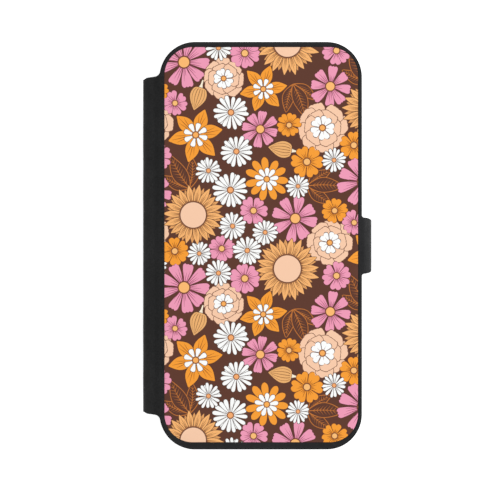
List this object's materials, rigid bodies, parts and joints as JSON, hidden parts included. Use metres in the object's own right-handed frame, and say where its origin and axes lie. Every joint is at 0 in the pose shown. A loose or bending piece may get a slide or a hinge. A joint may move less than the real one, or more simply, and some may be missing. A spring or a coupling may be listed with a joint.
{
  "type": "folio phone case",
  "caption": "Folio phone case: soft tray for the phone, wrap-round cover with printed flower panel, card pockets inside, and a magnetic closing strap.",
  "frame": {"origin": "centre of the tray floor, where the middle of the phone's back rests, with the case closed and lying on its back", "axes": "+X to the side of the closing strap (the spine is on -X), +Y to the top of the phone, +Z out of the phone's screen, through the printed front cover"},
  "size_m": [0.0848, 0.15, 0.0196],
  "materials": {
    "leathercloth": "black synthetic leather with a fine pebble grain, semi-matt",
    "lining": "black smooth synthetic leather lining, matt",
    "board": "grey-brown stiffening board",
    "print": "brown printed synthetic leather with flowers in tan, pink, orange and white, semi-matt",
    "tray": "black thermoplastic urethane, semi-matt",
    "pocket": "black synthetic leather with a fine grain",
    "steel": "plain steel sheet",
    "magnet": "nickel-plated magnet"
  },
  "bodies": {
    "back": {"back_outer_skin": "leathercloth", "back_board": "board", "keeper_plate": "steel", "back_lining": "lining", "phone_shell": "tray"},
    "volume_up": {"volume_up_button": "tray"},
    "volume_down": {"volume_down_button": "tray"},
    "side_key": {"side_button": "tray"},
    "spine_lower": {"spine_lower_skin": "leathercloth", "spine_lower_lining": "lining"},
    "spine_middle": {"spine_middle_skin": "leathercloth", "spine_middle_lining": "lining"},
    "spine_upper": {"spine_upper_skin": "leathercloth", "spine_upper_lining": "lining"},
    "front_cover": {"front_outer_skin": "leathercloth", "print_panel": "print", "front_board": "board", "front_lining": "lining", "cash_pocket_panel": "pocket", "card_slot_1_panel": "pocket", "card_slot_2_panel": "pocket", "card_slot_3_panel": "pocket"},
    "strap_side": {"strap_side_skin": "leathercloth", "strap_side_lining": "lining"},
    "strap_tip": {"strap_tip_skin": "leathercloth", "strap_tip_lining": "lining", "strap_magnet": "magnet"}
  },
  "joints": [
    {"name": "cover_fold", "type": "hinge", "parent": "back", "child": "spine_lower", "pos_m": [-0.0379, 0, -0.00275], "axis": [0, -1, 0], "range_deg": [0, 45], "deforming": ["strap_side_skin", "strap_side_lining", "strap_tip_skin", "strap_tip_lining", "strap_magnet"]},
    {"name": "spine_fold_2", "type": "hinge", "parent": "spine_lower", "child": "spine_middle", "pos_m": [-0.0432, 0, 0.00255], "axis": [0, -1, 0], "range_deg": [0, 45]},
    {"name": "spine_fold_3", "type": "hinge", "parent": "spine_middle", "child": "spine_upper", "pos_m": [-0.0432, 0, 0.00775], "axis": [0, -1, 0], "range_deg": [0, 45]},
    {"name": "spine_fold_4", "type": "hinge", "parent": "spine_upper", "child": "front_cover", "pos_m": [-0.0379, 0, 0.01305], "axis": [0, -1, 0], "range_deg": [0, 45]},
    {"name": "strap_fold", "type": "hinge", "parent": "front_cover", "child": "strap_side", "pos_m": [0.03964, 0, 0.01229], "axis": [0, -1, 0], "range_deg": [0, 90]},
    {"name": "strap_tip_fold", "type": "hinge", "parent": "strap_side", "child": "strap_tip", "pos_m": [0.03964, 0, -0.00359], "axis": [0, -1, 0], "range_deg": [0, 90]},
    {"name": "volume_up_press", "type": "slide", "parent": "back", "child": "volume_up", "axis": [1, 0, 0], "range_m": [0, 0.0004], "stiffness_N_per_m": 2000},
    {"name": "volume_down_press", "type": "slide", "parent": "back", "child": "volume_down", "axis": [1, 0, 0], "range_m": [0, 0.0004], "stiffness_N_per_m": 2000},
    {"name": "side_button_press", "type": "slide", "parent": "back", "child": "side_key", "axis": [-1, 0, 0], "range_m": [0, 0.0004], "stiffness_N_per_m": 2000}
  ],
  "couplings": [
    {"joint": "spine_fold_2", "follows": "cover_fold", "ratio": 1},
    {"joint": "spine_fold_3", "follows": "cover_fold", "ratio": 1},
    {"joint": "spine_fold_4", "follows": "cover_fold", "ratio": 1},
    {"joint": "strap_tip_fold", "follows": "strap_fold", "ratio": 1}
  ]
}
